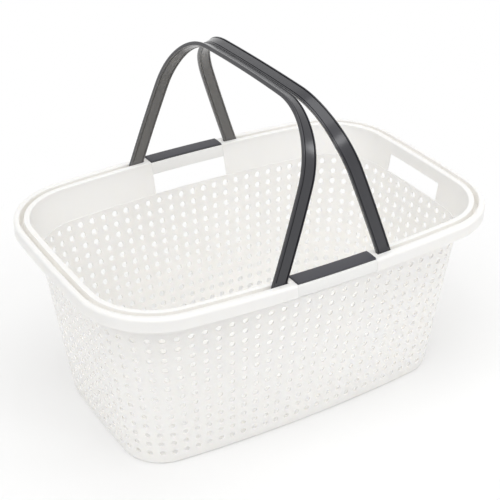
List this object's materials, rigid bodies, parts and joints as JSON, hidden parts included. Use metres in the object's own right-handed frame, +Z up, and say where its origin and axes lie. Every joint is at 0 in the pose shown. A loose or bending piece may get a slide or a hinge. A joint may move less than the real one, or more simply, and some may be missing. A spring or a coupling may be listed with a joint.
{
  "type": "carry basket",
  "caption": "White perforated plastic carry basket with an oval rim, hand holes on every side and two charcoal handles that swing up to meet.",
  "frame": {"origin": "middle of the footprint, on the surface the basket stands on", "axes": "+X along the long axis of the rim, -Y the front long side, +Z up"},
  "size_m": [0.56, 0.387, 0.4415],
  "materials": {
    "tub_plastic": "satin",
    "handle_plastic": "satin",
    "pad_plastic": "matte"
  },
  "bodies": {
    "basket": {"tub_floor": "tub_plastic", "front_right_wall": "tub_plastic", "front_left_wall": "tub_plastic", "back_right_wall": "tub_plastic", "back_left_wall": "tub_plastic", "right_wall": "tub_plastic", "left_wall": "tub_plastic", "front_right_corner_near": "tub_plastic", "front_right_corner_far": "tub_plastic", "front_left_corner_near": "tub_plastic", "front_left_corner_far": "tub_plastic", "back_right_corner_near": "tub_plastic", "back_right_corner_far": "tub_plastic", "back_left_corner_near": "tub_plastic", "back_left_corner_far": "tub_plastic", "front_right_rim": "tub_plastic", "front_left_rim": "tub_plastic", "back_right_rim": "tub_plastic", "back_left_rim": "tub_plastic", "right_rim": "tub_plastic", "left_rim": "tub_plastic", "front_right_rim_corner": "tub_plastic", "front_left_rim_corner": "tub_plastic", "back_right_rim_corner": "tub_plastic", "back_left_rim_corner": "tub_plastic", "front_grip_bar": "tub_plastic", "back_grip_bar": "tub_plastic", "front_grip_pad": "pad_plastic", "back_grip_pad": "pad_plastic"},
    "right_handle": {"right_handle": "handle_plastic"},
    "left_handle": {"left_handle": "handle_plastic"}
  },
  "joints": [
    {"name": "right_handle_swing", "type": "hinge", "parent": "basket", "child": "right_handle", "pos_m": [0.0715, 0, 0.248], "axis": [0, 1, 0], "range_deg": [0, 109.3]},
    {"name": "left_handle_swing", "type": "hinge", "parent": "basket", "child": "left_handle", "pos_m": [-0.0715, 0, 0.248], "axis": [0, -1, 0], "range_deg": [0, 109.3]}
  ]
}
